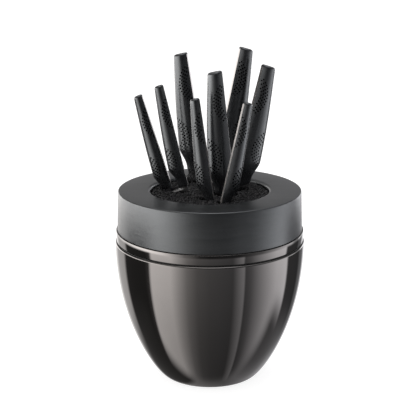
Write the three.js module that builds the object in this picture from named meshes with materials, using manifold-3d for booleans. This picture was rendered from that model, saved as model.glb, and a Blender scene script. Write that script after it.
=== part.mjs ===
// A knife block: a turned steel vessel with a wooden top ring, a lift-out cup
// of bristles, and eight knives standing in the bristles.
// Millimetres, +Z up. The origin is the middle of the resting face.
import * as THREE from 'three';
import { mergeVertices } from 'three/addons/utils/BufferGeometryUtils.js';
import Module from 'manifold-3d';

const wasm = await Module();
wasm.setup();

// ---- driving sizes -------------------------------------------------------
const RADIAL_SEGMENTS = 48;      // sides of every large turned piece
const FIT_GAP = 0.3;             // gap between pieces that touch
const BODY_GAP = 0.5;            // radial play of pieces that lift out

const RING_RADIUS = 104;         // wooden ring, outside, at its top edge
const RING_FLARE = 1.6;          // how much wider the ring is at its underside
const RING_HEIGHT = 45.4;
const RING_EDGE_RADIUS = 1.5;    // outer top edge
const WELL_ROOM = 4.3;           // from the outermost blade edge to the ring's hole
const WELL_ROUND = 3.6;          // rounding of the hole's top edge

const COLLAR_HEIGHT = 11.2;      // polished band under the ring
const COLLAR_STEP = 1.4;         // how far the band stands proud of the ring
const COLLAR_WALL = 1.4;
const COLLAR_SKIRT_DROP = 11;    // how far its skirt reaches into the vessel
const SKIRT_INSET = 8.7;         // from the band's face to the skirt's face
const CLAMP_WIDTH = 8;           // flange that the support ring clamps

const GASKET_HEIGHT = 0.9;
const RIM_STEP = 1.3;            // how far the vessel stands proud of the band
const RIM_ROUND = 1.6;
const RIM_LIP_WIDTH = 8.4;       // inward lip of the vessel's mouth
const VESSEL_WALL = 1.2;
const FOOT_TUCK = 3.5;           // how far the vessel's foot tucks in under the cup
const VESSEL_SHOULDER = 0.604;   // upper curve handle, as a share of its height
const VESSEL_HEEL_OUT = 6.8;     // lower curve handle, outward
const VESSEL_HEEL_UP = 1.9;      // lower curve handle, upward
const VESSEL_OUTER_STEPS = 11;
const VESSEL_INNER_STEPS = 7;
const PAD_MARGIN = 6.5;          // steel left around the pad
const PAD_RECESS = 1.2;          // depth of the foot's recess for the pad
const PAD_PROUD = 0.6;           // how far the pad stands below the steel
const PAD_HOLE_RADIUS = 12;

const SUPPORT_THICKNESS = 6;
const SUPPORT_LIP = 2.3;         // ledge on which the cup's shoulder rests
const SCREW_COUNT = 6;
const SCREW_SHANK_RADIUS = 1.75;
const SCREW_HEAD_RADIUS = 3.6;
const SCREW_HEAD_HEIGHT = 2.2;
const SCREW_BITE = 11;           // thread length inside the wood
const SCREW_SIDES = 12;

const CUP_WALL = 1.6;
const CUP_TOP_DROP = 6;          // cup rim below the ring's top
const TIP_ROOM = 10.4;           // from the outermost blade tip to the cup's foot
const CUP_FLOOR = 2.4;
const CUP_DRAIN_RADIUS = 5;
const BRISTLE_PLATE = 3;         // plate that the rods stand in
const TIP_DROP = 3;              // rod tips below the ring's top
const TIP_GAP = 2.7;             // deepest blade tip above the plate
const CUP_FLOOR_HEIGHT = 13;     // underside of the cup above the table
const SLOT_GAP = 0.8;            // room around a blade in the rods

// Two handle sizes. Widths run from the straight spine to the curved belly.
const LARGE = {
  length: 145, buttWidth: 16.2, bellyWidth: 27.8, neckWidth: 22, bellyAt: 35, neckLength: 8,
  buttThickness: 13, bellyThickness: 16, neckThickness: 11.5, facet: 4.6, neckSlope: 0.45,
  buttSlope: -0.09,
};
const SMALL = {
  length: 119, buttWidth: 10.2, bellyWidth: 17.8, neckWidth: 11.8, bellyAt: 24, neckLength: 7,
  buttThickness: 9.4, bellyThickness: 12, neckThickness: 8, facet: 3.4, neckSlope: 0.12,
  buttSlope: -0.09,
};
const HANDLE_WALL = 1.3;
const CAP_THICKNESS = 2.5;
const CAP_RECESS = 0.3;
const TANG_THICKNESS = 3;
const TANG_SHARE = 0.45;         // tang width over neck width
const TANG_LENGTH = 30;
const BLADE_INSET = 0.7;         // blade spine inside the handle's spine
const EDGE_THICKNESS = 0.4;
const HEEL_RISE = 2.5;           // length over which the heel leaves the neck
const TIP_WIDTH = 0.6;

// Each knife: entry is where its spine passes the rod tips, as x and y. Lean is
// its tilt to the right in degrees, and turn swings its belly back. Side is +1
// with the belly on the right. Rise is the spine end of the neck above the rod
// tips. A blade has a length, a width at the heel, a spine thickness, the power
// of its edge curve and its spine's drop to the tip.
const KNIVES = [
  { name: 'paring', handle: SMALL, entry: [-42.8, 17.4], lean: -17.3, turn: 12, side: -1, rise: -5.4,
    blade: { length: 90, width: 17, thickness: 1.6, power: 2.2, drop: 4 } },
  { name: 'vegetable', handle: SMALL, entry: [-22.7, 1], lean: -13.5, turn: 5, side: -1, rise: 6.5,
    blade: { length: 135, width: 30, thickness: 1.8, power: 3.4, drop: 11 } },
  { name: 'bread', handle: LARGE, entry: [-2.7, 43.9], lean: -8.7, turn: 16, side: -1, rise: 9,
    blade: { length: 205, width: 31, thickness: 2.2, power: 5, drop: 14 } },
  { name: 'utility', handle: SMALL, entry: [4.7, -32.6], lean: -8.3, turn: 18, side: -1, rise: -5.5,
    blade: { length: 125, width: 21, thickness: 1.8, power: 2.4, drop: 5 } },
  { name: 'santoku', handle: LARGE, entry: [28.7, -10.4], lean: -6.3, turn: 4, side: -1, rise: -5.3,
    blade: { length: 170, width: 43, thickness: 2.0, power: 3.6, drop: 20 } },
  { name: 'chef', handle: LARGE, entry: [0.7, 27.3], lean: 11.7, turn: 20, side: 1, rise: 18.9,
    blade: { length: 200, width: 43, thickness: 2.4, power: 2.1, drop: 7 } },
  { name: 'tomato', handle: SMALL, entry: [12.4, -43.4], lean: 12.5, turn: 25, side: 1, rise: -6.3,
    blade: { length: 115, width: 19, thickness: 1.6, power: 3.2, drop: 7 } },
  { name: 'carving', handle: LARGE, entry: [23.9, 10.3], lean: 13.7, turn: 22, side: 1, rise: 2.2,
    blade: { length: 200, width: 29, thickness: 2.0, power: 2.6, drop: 6 } },
];

// ---- sizes worked out from those above ------------------------------------
const radians = THREE.MathUtils.degToRad;
const plateTop = CUP_FLOOR_HEIGHT + CUP_FLOOR + BRISTLE_PLATE - FIT_GAP;

// A frame whose Z runs up the knife and whose X runs from spine to belly. It
// stands at the height of the rod tips, which is its parent's zero.
const knifeFrame = ({ entry, lean, turn, side, rise }) => {
  const up = new THREE.Vector3(Math.sin(radians(lean)), 0, Math.cos(radians(lean)));
  const back = new THREE.Vector3(0, 1, 0);
  const across = new THREE.Vector3().crossVectors(back, up).multiplyScalar(side);
  const belly = across.multiplyScalar(Math.cos(radians(turn))).addScaledVector(back, Math.sin(radians(turn)));
  const normal = new THREE.Vector3().crossVectors(up, belly);
  const group = new THREE.Group();
  group.quaternion.setFromRotationMatrix(new THREE.Matrix4().makeBasis(belly, normal, up));
  group.position.set(entry[0], entry[1], 0).addScaledVector(up, rise);
  group.updateMatrix();
  return group;
};

const knifePoint = (knife, x, z) => new THREE.Vector3(x, 0, z).applyMatrix4(knifeFrame(knife).matrix);
const bladeTip = (knife) => knifePoint(knife, BLADE_INSET + knife.blade.drop, -knife.blade.length);
const bladeEdge = (knife) => knifePoint(knife, BLADE_INSET + knife.blade.width, -knife.rise);
const axisDistance = ({ x, y }) => Math.hypot(x, y);

// The block is as deep and as wide as its knives need.
const tipZ = plateTop + TIP_GAP + Math.max(...KNIVES.map((knife) => -bladeTip(knife).z));
const wellRadius = WELL_ROOM + Math.max(...KNIVES.map((knife) => axisDistance(bladeEdge(knife))));
const cupFootRadius = TIP_ROOM + Math.max(...KNIVES.map((knife) => axisDistance(bladeTip(knife))));
const vesselFootRadius = cupFootRadius - FOOT_TUCK;
const padRadius = vesselFootRadius - PAD_MARGIN;
const ringTop = tipZ + TIP_DROP;
const ringBottom = ringTop - RING_HEIGHT;
const collarTop = ringBottom - FIT_GAP;
const collarBottom = collarTop - COLLAR_HEIGHT;
const collarRadius = RING_RADIUS + RING_FLARE + COLLAR_STEP;
const skirtRadius = collarRadius - SKIRT_INSET;
const vesselTop = collarBottom - GASKET_HEIGHT - 2 * FIT_GAP;
const vesselRadius = collarRadius + RIM_STEP;
const mouthRadius = vesselRadius - RIM_LIP_WIDTH;
const supportTop = ringBottom - FIT_GAP;
const clampInner = skirtRadius - COLLAR_WALL - CLAMP_WIDTH;
const supportRadius = skirtRadius - COLLAR_WALL - FIT_GAP;
const cupTopRadius = wellRadius - BODY_GAP;
const cupTop = ringTop - CUP_TOP_DROP;
const cupShoulderRadius = cupTopRadius - SUPPORT_LIP;
const supportInner = cupShoulderRadius + BODY_GAP;
const screwCircle = (clampInner + supportRadius) / 2;

// ---- helpers ---------------------------------------------------------------
const asSolid = (geometry) => {
  const bare = geometry.clone();
  bare.deleteAttribute('normal');
  bare.deleteAttribute('uv');
  const merged = mergeVertices(bare, 1e-4);
  return new wasm.Manifold(new wasm.Mesh({
    numProp: 3,
    vertProperties: Float32Array.from(merged.attributes.position.array),
    triVerts: Uint32Array.from(merged.index.array),
  }));
};

const asGeometry = (solid) => {
  const mesh = solid.getMesh();
  const geometry = new THREE.BufferGeometry();
  geometry.setAttribute('position', new THREE.BufferAttribute(mesh.vertProperties, 3));
  geometry.setIndex(new THREE.BufferAttribute(mesh.triVerts, 1));
  geometry.computeVertexNormals();
  return geometry;
};

const cut = (body, cutters) => asGeometry(
  cutters.reduce((solid, cutter) => solid.subtract(asSolid(cutter)), asSolid(body)));

const join = (one, other) => asGeometry(asSolid(one).add(asSolid(other)));

// A piece turned about Z. The profile is [radius, height] points that run
// anticlockwise, and it closes on itself or starts and ends on the axis.
const turned = (profile, segments = RADIAL_SEGMENTS) => {
  const points = profile.map(([radius, height]) => new THREE.Vector2(radius, height));
  if (profile[0][0] > 0) points.push(points[0].clone());
  return new THREE.LatheGeometry(points, segments).rotateX(Math.PI / 2);
};

// Points of a quarter round about a centre, between two angles in degrees.
const arc = (x, z, radius, from, to, steps) => Array.from({ length: steps + 1 }, (_, i) => {
  const angle = radians(from + (to - from) * i / steps);
  return [x + radius * Math.cos(angle), z + radius * Math.sin(angle)];
});

// A closed skin through rings of points, each ring with the same count.
const loft = (rings) => {
  const count = rings[0].length;
  const last = (rings.length - 1) * count;
  const index = [];
  for (let k = 0; k < rings.length - 1; k += 1) {
    for (let i = 0; i < count; i += 1) {
      const a = k * count + i;
      const b = k * count + (i + 1) % count;
      index.push(a, b, b + count, a, b + count, a + count);
    }
  }
  for (let i = 1; i < count - 1; i += 1) {
    index.push(0, i + 1, i);
    index.push(last, last + i, last + i + 1);
  }
  const geometry = new THREE.BufferGeometry();
  geometry.setAttribute('position', new THREE.Float32BufferAttribute(rings.flat(2), 3));
  geometry.setIndex(index);
  geometry.computeVertexNormals();
  return geometry;
};

const rod = (radius, bottom, top, x, y, sides = SCREW_SIDES) => {
  const geometry = new THREE.CylinderGeometry(radius, radius, top - bottom, sides);
  return geometry.rotateX(Math.PI / 2).translate(x, y, (top + bottom) / 2);
};

const box = (x0, x1, y0, y1, z0, z1) => new THREE.BoxGeometry(x1 - x0, y1 - y0, z1 - z0)
  .translate((x0 + x1) / 2, (y0 + y1) / 2, (z0 + z1) / 2);

const finish = (color, roughness, metalness) =>
  new THREE.MeshStandardMaterial({ color, roughness, metalness });

const MATERIALS = {
  gunmetal: finish(0x4b4745, 0.08, 1),
  blackWood: finish(0x2b2c2e, 0.45, 0),
  rubber: finish(0x151515, 0.8, 0),
  blackPlastic: finish(0x1a1b1c, 0.5, 0),
  rods: finish(0x131415, 0.4, 0),
  zinc: finish(0xa8aaac, 0.35, 1),
  coatedSteel: finish(0x1c1e21, 0.3, 0.4),
  blade: finish(0xc9cbcd, 0.15, 1),
};

const scene = new THREE.Group();

const place = (name, geometry, material, parent = scene) => {
  const mesh = new THREE.Mesh(geometry, MATERIALS[material]);
  mesh.name = name;
  parent.add(mesh);
  return mesh;
};

// ---- vessel -----------------------------------------------------------------
// The egg-shaped wall is one cubic curve from the rim down to the foot.
const vesselWallPoint = (share, inset) => {
  const height = vesselTop - RIM_ROUND;
  const curve = new THREE.CubicBezierCurve(
    new THREE.Vector2(vesselRadius, height),
    new THREE.Vector2(vesselRadius, height * (1 - VESSEL_SHOULDER)),
    new THREE.Vector2(vesselFootRadius + VESSEL_HEEL_OUT, PAD_PROUD + VESSEL_HEEL_UP),
    new THREE.Vector2(vesselFootRadius, PAD_PROUD),
  );
  const point = curve.getPoint(share);
  const along = curve.getTangent(share);
  return [point.x + along.y * inset, point.y - along.x * inset];
};

const wallRun = (inset, from, to, steps) => Array.from({ length: steps + 1 }, (_, i) =>
  vesselWallPoint(from + (to - from) * i / steps, inset));

const vesselProfile = () => {
  const lipTop = vesselTop;
  const recess = PAD_PROUD + PAD_RECESS;
  return [
    [0, recess],
    [padRadius + FIT_GAP, recess],
    [padRadius + FIT_GAP, PAD_PROUD],
    ...wallRun(0, 1, 0, VESSEL_OUTER_STEPS),
    ...arc(vesselRadius - RIM_ROUND, lipTop - RIM_ROUND, RIM_ROUND, 30, 90, 2),
    [mouthRadius, lipTop],
    [mouthRadius, lipTop - VESSEL_WALL],
    [vesselRadius - VESSEL_WALL - RIM_ROUND, lipTop - VESSEL_WALL],
    ...wallRun(VESSEL_WALL, 0.03, 0.93, VESSEL_INNER_STEPS),
    [padRadius, recess + VESSEL_WALL],
    [0, recess + VESSEL_WALL],
  ];
};

const addVessel = () => {
  place('vessel_shell', turned(vesselProfile()), 'gunmetal');
  place('base_pad', turned([
    [PAD_HOLE_RADIUS, 0],
    [padRadius, 0],
    [padRadius, PAD_PROUD + PAD_RECESS - FIT_GAP],
    [PAD_HOLE_RADIUS, PAD_PROUD + PAD_RECESS - FIT_GAP],
  ]), 'rubber');
  place('rim_gasket', turned([
    [mouthRadius + FIT_GAP, vesselTop + FIT_GAP],
    [collarRadius + FIT_GAP, vesselTop + FIT_GAP],
    [collarRadius + FIT_GAP, vesselTop + FIT_GAP + GASKET_HEIGHT],
    [mouthRadius + FIT_GAP, vesselTop + FIT_GAP + GASKET_HEIGHT],
  ]), 'rubber');
};

// ---- top ring and what is screwed to it ---------------------------------------
const screwPlaces = Array.from({ length: SCREW_COUNT }, (_, i) => {
  const angle = 2 * Math.PI * (i + 0.5) / SCREW_COUNT;
  return [screwCircle * Math.cos(angle), screwCircle * Math.sin(angle)];
});

const screwHoles = (gap, bottom, top) => screwPlaces.map(([x, y]) =>
  rod(SCREW_SHANK_RADIUS + gap, bottom, top, x, y));

const supportBottom = supportTop - SUPPORT_THICKNESS;

const addTopRing = () => {
  const woodProfile = [
    [wellRadius, ringBottom],
    [RING_RADIUS + RING_FLARE, ringBottom],
    ...arc(RING_RADIUS - RING_EDGE_RADIUS, ringTop - RING_EDGE_RADIUS, RING_EDGE_RADIUS, 0, 90, 3),
    ...arc(wellRadius + WELL_ROUND, ringTop - WELL_ROUND, WELL_ROUND, 90, 180, 4),
  ];
  const pilots = screwHoles(FIT_GAP, ringBottom - 1, ringBottom + SCREW_BITE + 1);
  place('wood_ring', cut(turned(woodProfile), pilots), 'blackWood');

  const skirtBottom = collarBottom - COLLAR_SKIRT_DROP;
  const flangeBottom = collarTop - COLLAR_WALL;
  const collarProfile = [
    [clampInner, flangeBottom],
    [skirtRadius - COLLAR_WALL, flangeBottom],
    [skirtRadius - COLLAR_WALL, skirtBottom],
    [skirtRadius, skirtBottom],
    [skirtRadius, flangeBottom],
    [collarRadius - COLLAR_WALL, flangeBottom],
    [collarRadius - COLLAR_WALL, collarBottom],
    [collarRadius, collarBottom],
    [collarRadius, collarTop],
    [clampInner, collarTop],
  ];
  place('rim_collar', cut(turned(collarProfile), screwHoles(FIT_GAP, flangeBottom - 1, collarTop + 1)), 'gunmetal');

  const stepHeight = flangeBottom - FIT_GAP;
  const supportProfile = [
    [supportInner, supportBottom],
    [supportRadius, supportBottom],
    [supportRadius, stepHeight],
    [clampInner - FIT_GAP, stepHeight],
    [clampInner - FIT_GAP, supportTop],
    [supportInner, supportTop],
  ];
  place('support_ring', cut(turned(supportProfile), screwHoles(FIT_GAP, supportBottom - 1, supportTop + 1)),
    'blackPlastic');

  const headTop = supportBottom - FIT_GAP;
  screwPlaces.forEach(([x, y], i) => {
    const screw = turned([
      [0, headTop - SCREW_HEAD_HEIGHT],
      [SCREW_HEAD_RADIUS * 0.6, headTop - SCREW_HEAD_HEIGHT],
      [SCREW_HEAD_RADIUS, headTop - SCREW_HEAD_HEIGHT / 2],
      [SCREW_HEAD_RADIUS, headTop],
      [SCREW_SHANK_RADIUS, headTop],
      [SCREW_SHANK_RADIUS, ringBottom + SCREW_BITE - SCREW_SHANK_RADIUS],
      [0, ringBottom + SCREW_BITE],
    ], SCREW_SIDES);
    place(`ring_screw_${i + 1}`, screw.translate(x, y, 0), 'zinc');
  });
};

// ---- knives -----------------------------------------------------------------
// Width and thickness of a handle at a height above the spine end of its neck.
const smooth = (x) => x * x * (3 - 2 * x);

const handleSize = (handle, z) => {
  const { length, bellyAt, neckLength } = handle;
  if (z < bellyAt) {
    const share = smooth(THREE.MathUtils.clamp((z - neckLength) / (bellyAt - neckLength), 0, 1));
    return {
      width: handle.neckWidth + (handle.bellyWidth - handle.neckWidth) * share,
      thickness: handle.neckThickness + (handle.bellyThickness - handle.neckThickness) * share,
    };
  }
  const along = (length - z) / (length - bellyAt);
  const share = (along + Math.sin(along * Math.PI / 2)) / 2;
  return {
    width: handle.buttWidth + (handle.bellyWidth - handle.buttWidth) * share,
    thickness: handle.buttThickness + (handle.bellyThickness - handle.buttThickness) * share,
  };
};

// Half a section's outline, from the flat spine facet round to the belly:
// the side swells to its full thickness and closes in a round belly.
const SWELL_AT = 0.46;
const SIDE_STEPS = 3;
const BELLY_STEPS = 4;

const halfSection = (width, thickness, facet) => {
  const side = Array.from({ length: SIDE_STEPS }, (_, i) => {
    const share = i / SIDE_STEPS;
    return [width * SWELL_AT * share, facet + (thickness - facet) * Math.sin(share * Math.PI / 2)];
  });
  const belly = Array.from({ length: BELLY_STEPS }, (_, i) => {
    const angle = Math.PI / 2 * i / BELLY_STEPS;
    return [width * (SWELL_AT + (1 - SWELL_AT) * Math.sin(angle)), thickness * Math.cos(angle)];
  });
  return [...side, ...belly];
};

const handleRing = (handle, z, slope, inset) => {
  const { width, thickness } = handleSize(handle, z);
  const half = halfSection(width - 2 * inset, thickness / 2 - inset, handle.facet / 2);
  const outline = [
    ...half.map(([x, y]) => [x + inset, -y]),
    [width - inset, 0],
    ...half.map(([x, y]) => [x + inset, y]).reverse(),
  ];
  return outline.map(([x, y]) => [x, y, z + slope * x]);
};

// The neck's end slants up towards the belly, and the butt slants down.
const handleStations = ({ length, bellyAt, neckLength, neckSlope, buttSlope }) => [
  [0, neckSlope],
  [neckLength, neckSlope * 0.6],
  [neckLength + (bellyAt - neckLength) * 0.33, neckSlope * 0.4],
  [neckLength + (bellyAt - neckLength) * 0.67, neckSlope * 0.2],
  [bellyAt, 0],
  [bellyAt + (length - bellyAt) * 0.35, buttSlope * 0.35],
  [bellyAt + (length - bellyAt) * 0.7, buttSlope * 0.7],
  [length, buttSlope],
];

const tangSize = (handle) => {
  const width = handle.neckWidth * TANG_SHARE;
  const start = (handle.neckWidth - width) / 2;
  return { start, end: start + width };
};

const makeHandle = (handle) => {
  const outer = loft(handleStations(handle).map(([z, slope]) => handleRing(handle, z, slope, 0)));
  const hollowFrom = TANG_LENGTH - 2;
  const hollow = loft([
    handleRing(handle, hollowFrom, 0, HANDLE_WALL),
    handleRing(handle, (hollowFrom + handle.length) / 2, handle.buttSlope * 0.5, HANDLE_WALL),
    handleRing(handle, handle.length, handle.buttSlope, HANDLE_WALL).map(([x, y, z]) => [x, y, z + 0.01]),
    handleRing(handle, handle.length, handle.buttSlope, HANDLE_WALL).map(([x, y, z]) => [x, y, z + 5]),
  ]);
  const tang = tangSize(handle);
  const half = TANG_THICKNESS / 2 + FIT_GAP;
  const pocket = box(tang.start - FIT_GAP, tang.end + FIT_GAP, -half, half, -20, hollowFrom + 5);
  return cut(outer, [hollow, pocket]);
};

const makeCap = (handle) => {
  const inset = HANDLE_WALL + FIT_GAP / 2;
  const top = handle.length - CAP_RECESS;
  const ring = handleRing(handle, handle.length, handle.buttSlope, inset);
  const shifted = (by) => ring.map(([x, y, z]) => [x, y, z + by]);
  return loft([shifted(top - CAP_THICKNESS - handle.length), shifted(top - handle.length)]);
};

// A blade's section is a wedge with a flat spine and a ground edge.
const bladeRing = (spine, edge, z, slope, thickness) => {
  const half = thickness / 2;
  const thin = Math.min(EDGE_THICKNESS / 2, half);
  const bevel = spine + (edge - spine) * 0.82;
  const bevelHalf = half * 0.45 + thin * 0.3;
  return [[spine, half], [spine, -half], [bevel, -bevelHalf], [edge, -thin], [edge, thin], [bevel, bevelHalf]]
    .map(([x, y]) => [x, y, z + slope * x]);
};

const BLADE_STATIONS = [0.08, 0.25, 0.45, 0.62, 0.75, 0.86, 0.94, 1];

const bladeOutline = ({ length, width, power, drop }, share) => ({
  spine: BLADE_INSET + drop * share ** 3,
  edge: BLADE_INSET + drop + TIP_WIDTH + (width - drop - TIP_WIDTH) * (1 - share ** power),
  z: -length * share,
});

const makeBlade = ({ handle, blade }) => {
  const neckEdge = handle.neckWidth - BLADE_INSET;
  const heel = Math.max(blade.width * 0.97, neckEdge);
  const slope = handle.neckSlope;
  const rings = [
    bladeRing(BLADE_INSET, neckEdge, -FIT_GAP, slope, blade.thickness),
    bladeRing(BLADE_INSET, neckEdge, -HEEL_RISE, slope * 0.5, blade.thickness),
    bladeRing(BLADE_INSET, heel, -2 * HEEL_RISE, slope * 0.1, blade.thickness),
  ];
  for (const share of BLADE_STATIONS) {
    const { spine, edge, z } = bladeOutline(blade, share);
    rings.push(bladeRing(spine, edge, z, 0, blade.thickness * (1 - 0.5 * share)));
  }
  const tang = tangSize(handle);
  const half = TANG_THICKNESS / 2;
  const tangBox = box(tang.start, tang.end, -half, half, -1, TANG_LENGTH);
  return join(loft(rings.reverse()), tangBox);
};

const addKnife = (knife) => {
  const group = knifeFrame(knife);
  place(`${knife.name}_blade`, makeBlade(knife), 'blade', group);
  place(`${knife.name}_handle`, makeHandle(knife.handle), 'coatedSteel', group);
  place(`${knife.name}_end_cap`, makeCap(knife.handle), 'coatedSteel', group);
  return group;
};

const addKnives = () => {
  const rack = new THREE.Group();
  rack.position.z = tipZ;
  rack.add(...KNIVES.map(addKnife));
  scene.add(rack);
};

// ---- bristle insert -----------------------------------------------------------
// The room that a knife needs in the rods, so that it slides out on its line.
const knifeSlots = (knife) => {
  const { handle, blade, rise } = knife;
  const { matrix } = knifeFrame(knife);
  const half = Math.max(blade.thickness, TANG_THICKNESS) / 2 + SLOT_GAP;
  const far = BLADE_INSET + Math.max(blade.width, handle.neckWidth) + SLOT_GAP;
  const slots = [box(BLADE_INSET - SLOT_GAP, far, -half, half, -blade.length - SLOT_GAP, 80)];
  if (rise < handle.neckLength) {
    const neckHalf = handle.neckThickness / 2 + SLOT_GAP;
    slots.push(box(-SLOT_GAP, handle.neckWidth + SLOT_GAP, -neckHalf, neckHalf, -SLOT_GAP, 80));
  }
  return slots.map((slot) => slot.applyMatrix4(matrix).translate(0, 0, tipZ));
};

const addInsert = () => {
  const shoulder = supportTop + FIT_GAP;
  const footInner = cupFootRadius - CUP_WALL;
  const floorTop = CUP_FLOOR_HEIGHT + CUP_FLOOR;
  place('insert_cup', turned([
    [CUP_DRAIN_RADIUS, CUP_FLOOR_HEIGHT],
    [cupFootRadius, CUP_FLOOR_HEIGHT],
    [cupShoulderRadius, shoulder],
    [cupTopRadius, shoulder],
    [cupTopRadius, cupTop],
    [cupTopRadius - CUP_WALL, cupTop],
    [cupTopRadius - CUP_WALL, shoulder + CUP_WALL],
    [cupShoulderRadius - CUP_WALL, shoulder + CUP_WALL],
    [footInner, floorTop],
    [CUP_DRAIN_RADIUS, floorTop],
  ]), 'blackPlastic');
  place('bristle_base', turned([
    [0, floorTop + FIT_GAP],
    [footInner - FIT_GAP, floorTop + FIT_GAP],
    [footInner - FIT_GAP, plateTop],
    [0, plateTop],
  ]), 'blackPlastic');
  const packTop = cupTopRadius - CUP_WALL - FIT_GAP;
  const packMiddle = cupShoulderRadius - CUP_WALL - FIT_GAP;
  const pack = turned([
    [0, plateTop + FIT_GAP],
    [footInner - FIT_GAP, plateTop + FIT_GAP],
    [packMiddle - FIT_GAP, shoulder],
    [packMiddle, shoulder + CUP_WALL + FIT_GAP],
    [packTop, shoulder + CUP_WALL + FIT_GAP],
    [packTop, tipZ],
    [0, tipZ],
  ]);
  place('bristle_pack', cut(pack, KNIVES.flatMap(knifeSlots)), 'rods');
};

addVessel();
addTopRing();
addInsert();
addKnives();

export default scene;
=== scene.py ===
import math
import random

import bmesh
import bpy
from mathutils import Matrix, Vector
from mathutils.geometry import delaunay_2d_cdt


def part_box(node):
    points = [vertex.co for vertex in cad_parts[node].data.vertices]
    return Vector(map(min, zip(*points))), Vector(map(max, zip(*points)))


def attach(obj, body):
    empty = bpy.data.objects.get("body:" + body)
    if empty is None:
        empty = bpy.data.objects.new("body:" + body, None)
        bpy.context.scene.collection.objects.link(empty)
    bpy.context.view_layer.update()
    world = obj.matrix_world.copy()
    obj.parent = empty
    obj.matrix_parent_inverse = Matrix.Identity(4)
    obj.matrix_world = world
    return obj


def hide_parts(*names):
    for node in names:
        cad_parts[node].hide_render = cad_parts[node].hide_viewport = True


MM = 0.001

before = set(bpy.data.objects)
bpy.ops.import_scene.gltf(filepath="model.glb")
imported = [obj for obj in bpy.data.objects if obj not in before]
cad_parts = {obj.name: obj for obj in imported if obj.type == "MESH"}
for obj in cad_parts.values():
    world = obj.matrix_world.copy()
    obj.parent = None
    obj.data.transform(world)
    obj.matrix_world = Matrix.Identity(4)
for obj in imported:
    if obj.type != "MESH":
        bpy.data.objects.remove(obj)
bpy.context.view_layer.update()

# ---- sizes shared with the CAD source --------------------------------------
TURNED_SEGMENTS = 192
POLISHED_SEGMENTS = 256
WALL_STEPS_OUTSIDE = 96
WALL_STEPS_INSIDE = 40
WALL_INSIDE_FROM = 0.03
WALL_INSIDE_TO = 0.93
FIT_GAP = 0.3
BODY_GAP = 0.5
WELL_ROUND = 3.6
RING_FLARE = 1.6
RING_EDGE_RADIUS = 1.5
COLLAR_WALL = 1.4
COLLAR_SKIRT_DROP = 11.0
SKIRT_INSET = 8.7
CLAMP_WIDTH = 8.0
RIM_ROUND = 1.6
RIM_LIP_WIDTH = 8.4
VESSEL_WALL = 1.2
VESSEL_SHOULDER = 0.604
VESSEL_HEEL_OUT = 6.8
VESSEL_HEEL_UP = 1.9
PAD_MARGIN = 6.5
PAD_RECESS = 1.2
PAD_PROUD = 0.6
PAD_HOLE_RADIUS = 12.0
SUPPORT_LIP = 2.3
CUP_WALL = 1.6
CUP_FLOOR = 2.4
CUP_DRAIN_RADIUS = 5.0
SCREW_SHANK_RADIUS = 1.75
SCREW_COUNT = 6
SCREW_SIDES = 40
THREAD_PITCH = 1.1
THREAD_DEPTH = 0.35
THREAD_START = 0.4
THREAD_END = 2.6
SCREW_POINT = 2.2
SWELL_AT = 0.46
TANG_THICKNESS = 3.0
TANG_SHARE = 0.45
TANG_LENGTH = 30.0
TANG_EASE = 0.2
BLADE_INSET = 0.7
TIP_WIDTH = 0.6
HEEL_RISE = 2.5
HEEL_SHARE = 0.97

LARGE = {
    "length": 145.0, "butt_width": 16.2, "belly_width": 27.8, "neck_width": 22.0,
    "belly_at": 35.0, "neck_length": 8.0, "butt_thickness": 13.0, "belly_thickness": 16.0,
    "neck_thickness": 11.5, "facet": 4.6, "neck_slope": 0.45, "butt_slope": -0.09,
    # Dimples: mid height, half length, chord, bulge, column gap, towards the belly (+1) or spine
    "leaf": (110.0, 20.5, 2.8, 11.2, 2.65, 1), "crescent": (50.5, 21.0, 25.0, 13.1, 2.8, -1),
    "nose_limit": 26.0,
}
SMALL = {
    "length": 119.0, "butt_width": 10.2, "belly_width": 17.8, "neck_width": 11.8,
    "belly_at": 24.0, "neck_length": 7.0, "butt_thickness": 9.4, "belly_thickness": 12.0,
    "neck_thickness": 8.0, "facet": 3.4, "neck_slope": 0.12, "butt_slope": -0.09,
    "leaf": (86.0, 16.0, 2.0, 7.2, 2.25, 1), "crescent": (33.5, 15.5, 17.0, 9.8, 2.4, -1),
    "nose_limit": 17.4,
}

# Name: handle, entry x and y, lean, turn, side, rise; blade length, width,
# thickness, edge power, spine drop and depth of its serration.
KNIVES = {
    "paring": (SMALL, (-42.8, 17.4), -17.3, 12, -1, -5.4, (90, 17, 1.6, 2.2, 4, 0)),
    "vegetable": (SMALL, (-22.7, 1.0), -13.5, 5, -1, 6.5, (135, 30, 1.8, 3.4, 11, 0)),
    "bread": (LARGE, (-2.7, 43.9), -8.7, 16, -1, 9.0, (205, 31, 2.2, 5, 14, 1.3)),
    "utility": (SMALL, (4.7, -32.6), -8.3, 18, -1, -5.5, (125, 21, 1.8, 2.4, 5, 0)),
    "santoku": (LARGE, (28.7, -10.4), -6.3, 4, -1, -5.3, (170, 43, 2.0, 3.6, 20, 0)),
    "chef": (LARGE, (0.7, 27.3), 11.7, 20, 1, 18.9, (200, 43, 2.4, 2.1, 7, 0)),
    "tomato": (SMALL, (12.4, -43.4), 12.5, 25, 1, -6.3, (115, 19, 1.6, 3.2, 7, 0.8)),
    "carving": (LARGE, (23.9, 10.3), 13.7, 22, 1, 2.2, (200, 29, 2.0, 2.6, 6, 0)),
}


def node_span(node):
    """Outer radius, bottom and top of a turned CAD node, in millimetres."""
    low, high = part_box(node)
    return high.x / MM, low.z / MM, high.z / MM


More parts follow.
